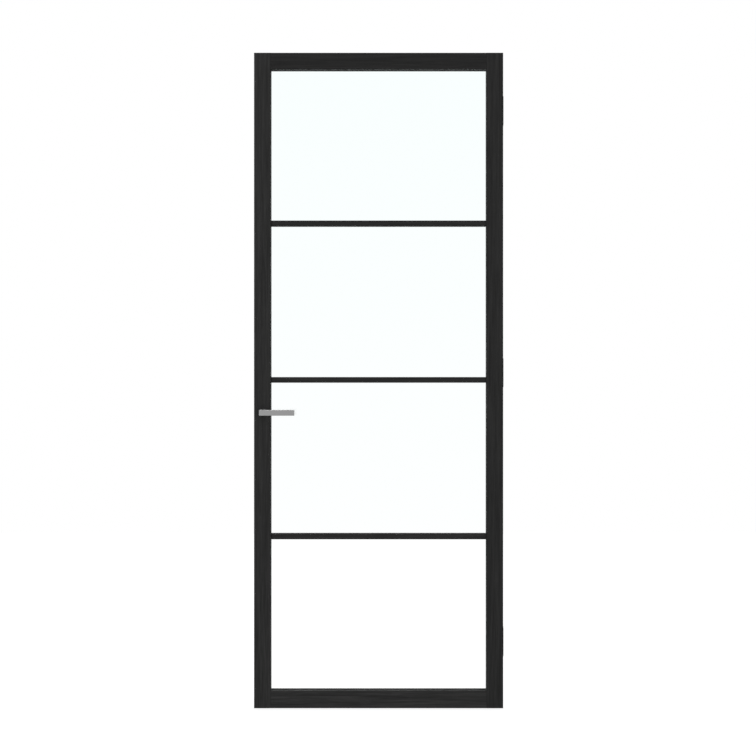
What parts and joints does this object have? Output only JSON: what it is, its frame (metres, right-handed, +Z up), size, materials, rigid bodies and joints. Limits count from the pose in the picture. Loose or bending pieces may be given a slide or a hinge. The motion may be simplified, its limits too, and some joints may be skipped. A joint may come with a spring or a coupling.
{
  "type": "glass door leaf",
  "caption": "Black timber door leaf with clear panes between slim glazing bars, narrow butt hinges and a flat lever handle.",
  "frame": {"origin": "under the middle of the leaf, on its bottom edge, half-way through its thickness", "axes": "+Z up along the stiles, +X towards the hinges, +Y away from the side in view, the way the leaf opens"},
  "size_m": [0.885, 0.144, 2.315],
  "materials": {
    "stained_wood": "black stained, satin, open grain",
    "clear_glass": "clear float glass",
    "glazing_tape": "matt black foam tape",
    "satin_metal": "satin brushed",
    "black_steel": "black powder coat",
    "plated_steel": "zinc plated",
    "cast_zinc": "cast, polished by use",
    "nylon": "black nylon"
  },
  "bodies": {
    "jamb_side": {"hinge_pin_1": "black_steel", "hinge_pin_2": "black_steel", "hinge_pin_3": "black_steel", "hinge_washers": "nylon", "jamb_hinge_flap_1": "black_steel", "jamb_hinge_flap_2": "black_steel", "jamb_hinge_flap_3": "black_steel"},
    "leaf": {"bead_1_bottom": "stained_wood", "bead_1_left": "stained_wood", "bead_1_right": "stained_wood", "bead_1_top": "stained_wood", "bead_2_bottom": "stained_wood", "bead_2_left": "stained_wood", "bead_2_right": "stained_wood", "bead_2_top": "stained_wood", "bead_3_bottom": "stained_wood", "bead_3_left": "stained_wood", "bead_3_right": "stained_wood", "bead_3_top": "stained_wood", "bead_4_bottom": "stained_wood", "bead_4_left": "stained_wood", "bead_4_right": "stained_wood", "bead_4_top": "stained_wood", "bottom_rail": "stained_wood", "follower_spring": "plated_steel", "forend": "plated_steel", "forend_screws": "plated_steel", "glass_pane_1": "clear_glass", "glass_pane_2": "clear_glass", "glass_pane_3": "clear_glass", "glass_pane_4": "clear_glass", "glazing_bar_1": "stained_wood", "glazing_bar_2": "stained_wood", "glazing_bar_3": "stained_wood", "glazing_tape_1": "glazing_tape", "glazing_tape_2": "glazing_tape", "glazing_tape_3": "glazing_tape", "glazing_tape_4": "glazing_tape", "hinge_screws": "black_steel", "hinge_stile": "stained_wood", "latch_case": "plated_steel", "latch_case_cover": "plated_steel", "latch_spring": "plated_steel", "leaf_hinge_flap_1": "black_steel", "leaf_hinge_flap_2": "black_steel", "leaf_hinge_flap_3": "black_steel", "lock_stile": "stained_wood", "rose_base_front": "nylon", "rose_base_rear": "nylon", "rose_front": "satin_metal", "rose_rear": "satin_metal", "rose_screws": "plated_steel", "setting_blocks": "nylon", "top_rail": "stained_wood"},
    "handle": {"lever_front": "satin_metal", "lever_rear": "satin_metal", "spindle": "plated_steel", "follower": "cast_zinc", "lever_grub_screws": "plated_steel"},
    "latch": {"latch_bolt": "cast_zinc"}
  },
  "joints": [
    {"name": "leaf_swing", "type": "hinge", "parent": "jamb_side", "child": "leaf", "pos_m": [0.4405, 0.0252, 0], "axis": [0, 0, -1], "range_deg": [0, 175]},
    {"name": "handle_turn", "type": "hinge", "parent": "leaf", "child": "handle", "pos_m": [-0.408, 0, 1.045], "axis": [0, 1, 0], "range_deg": [0, 40], "stiffness_Nm_per_rad": 1.2, "springref_deg": -20.05, "deforming": ["follower_spring"]},
    {"name": "latch_slide", "type": "slide", "parent": "leaf", "child": "latch", "axis": [-1, 0, 0], "range_m": [0, 0.01], "stiffness_N_per_m": 150, "springref_m": -0.006, "deforming": ["latch_spring"]}
  ]
}
